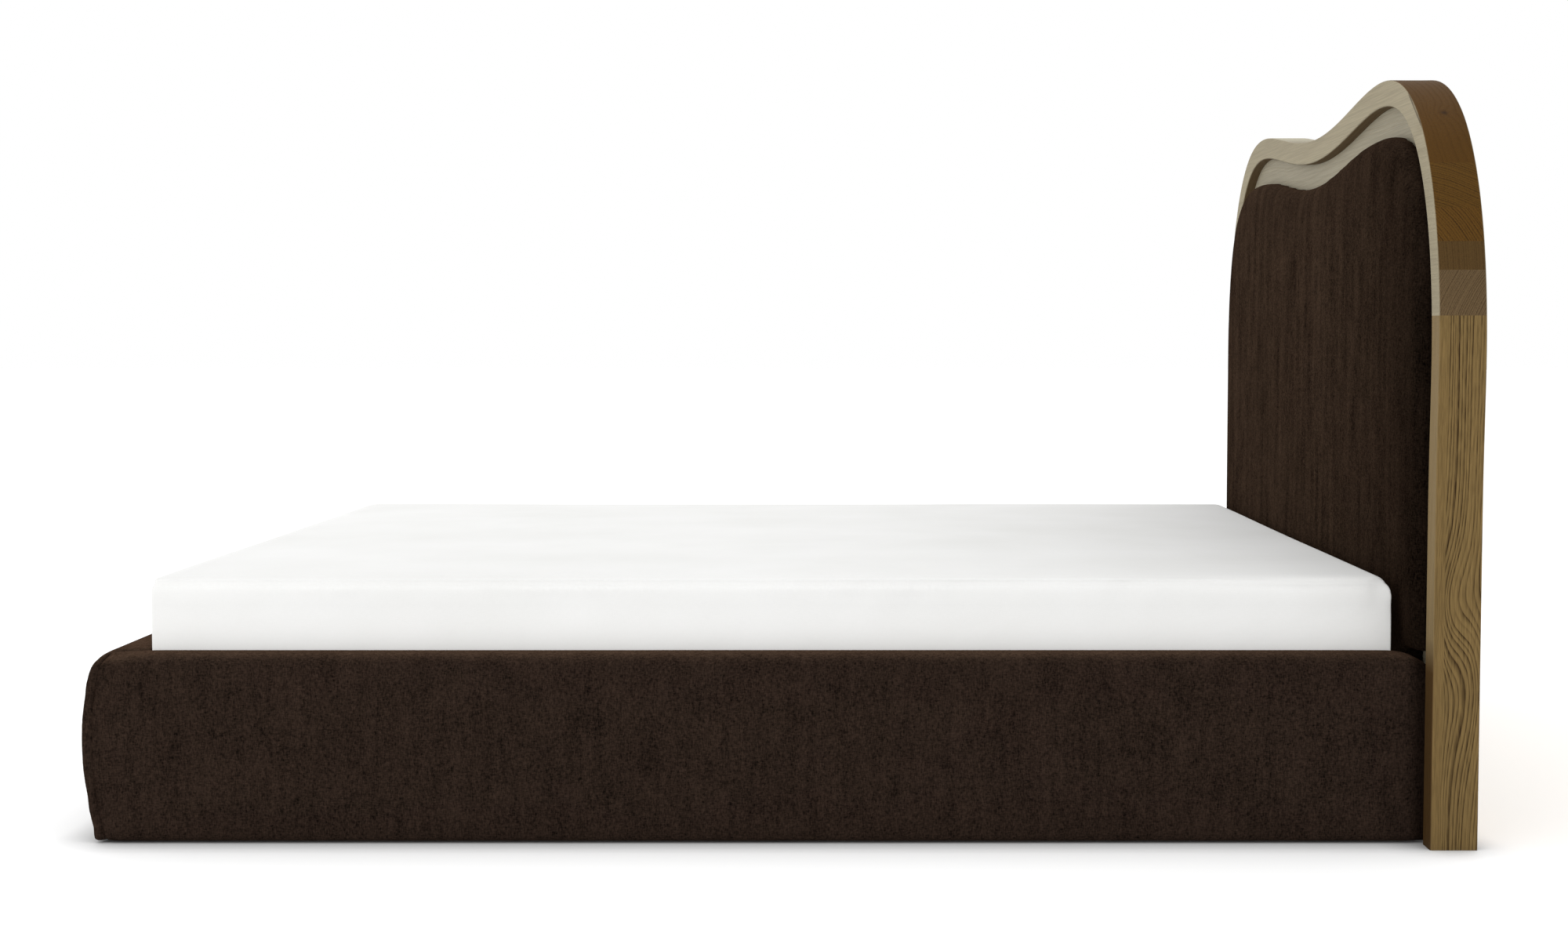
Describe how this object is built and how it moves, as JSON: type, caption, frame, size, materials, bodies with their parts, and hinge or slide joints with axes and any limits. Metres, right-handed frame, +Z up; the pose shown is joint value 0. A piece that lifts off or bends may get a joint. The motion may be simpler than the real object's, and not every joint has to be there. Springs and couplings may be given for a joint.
{
  "type": "sleigh bed",
  "caption": "Upholstered double bed with a tall oak-framed headboard whose top rises in humps, padded side rails, a footboard with a full outward curve, slatted base and mattress.",
  "frame": {"origin": "on the floor, at the middle of the bed's overall box", "axes": "+X to the bed's right side seen from the foot, +Y along the bed to the headboard, +Z up"},
  "size_m": [1.8404, 2.2139, 1.2461],
  "materials": {
    "oak_frame": "oiled oak, satin",
    "oak_panel": "oak veneer, matte",
    "brown_velvet": "chocolate brown velvet",
    "white_sheet": "white cotton sheet",
    "plywood": "birch plywood",
    "beech": "planed beech",
    "pine": "planed pine",
    "zinc_steel": "zinc plated",
    "black_plastic": "matte"
  },
  "bodies": {
    "bed": {"angle_bracket_screws": "zinc_steel", "angle_brackets": "zinc_steel", "arch_dowels": "beech", "back_cover_screws": "zinc_steel", "barrel_nuts": "zinc_steel", "beam_hanger_screws": "zinc_steel", "beam_hangers": "zinc_steel", "bed_bolt_washers": "zinc_steel", "bed_bolts": "zinc_steel", "centre_beam": "pine", "centre_legs": "pine", "corner_block_screws": "zinc_steel", "corner_blocks": "pine", "footboard_core": "pine", "footboard_cover": "brown_velvet", "frame_screws": "zinc_steel", "glides": "black_plastic", "head_crossrail": "pine", "headboard_back_cover": "plywood", "headboard_block_1_left": "oak_frame", "headboard_block_1_right": "oak_frame", "headboard_block_2_left": "oak_frame", "headboard_block_2_right": "oak_frame", "headboard_block_3_left": "oak_frame", "headboard_block_3_right": "oak_frame", "headboard_block_4_left": "oak_frame", "headboard_block_4_right": "oak_frame", "headboard_crossbar_arch": "pine", "headboard_crossbar_low": "pine", "headboard_crossbar_middle": "pine", "headboard_crossbar_upper": "pine", "headboard_leg_left": "oak_frame", "headboard_leg_right": "oak_frame", "headboard_pad": "brown_velvet", "headboard_pad_board": "plywood", "headboard_panel": "oak_panel", "headboard_post_left": "pine", "headboard_post_right": "pine", "headboard_top_board": "oak_frame", "ledger_left": "pine", "ledger_right": "pine", "ledger_screws": "zinc_steel", "levelling_feet": "zinc_steel", "pad_screws": "zinc_steel", "side_rail_cover_left": "brown_velvet", "side_rail_cover_right": "brown_velvet", "side_rail_left": "pine", "side_rail_right": "pine", "slat_screws": "zinc_steel", "slats": "beech"},
    "mattress": {"mattress": "white_sheet"}
  },
  "joints": [
    {"name": "mattress_lift", "type": "slide", "parent": "bed", "child": "mattress", "axis": [0, 0, 1], "range_m": [0, 0.35]}
  ]
}
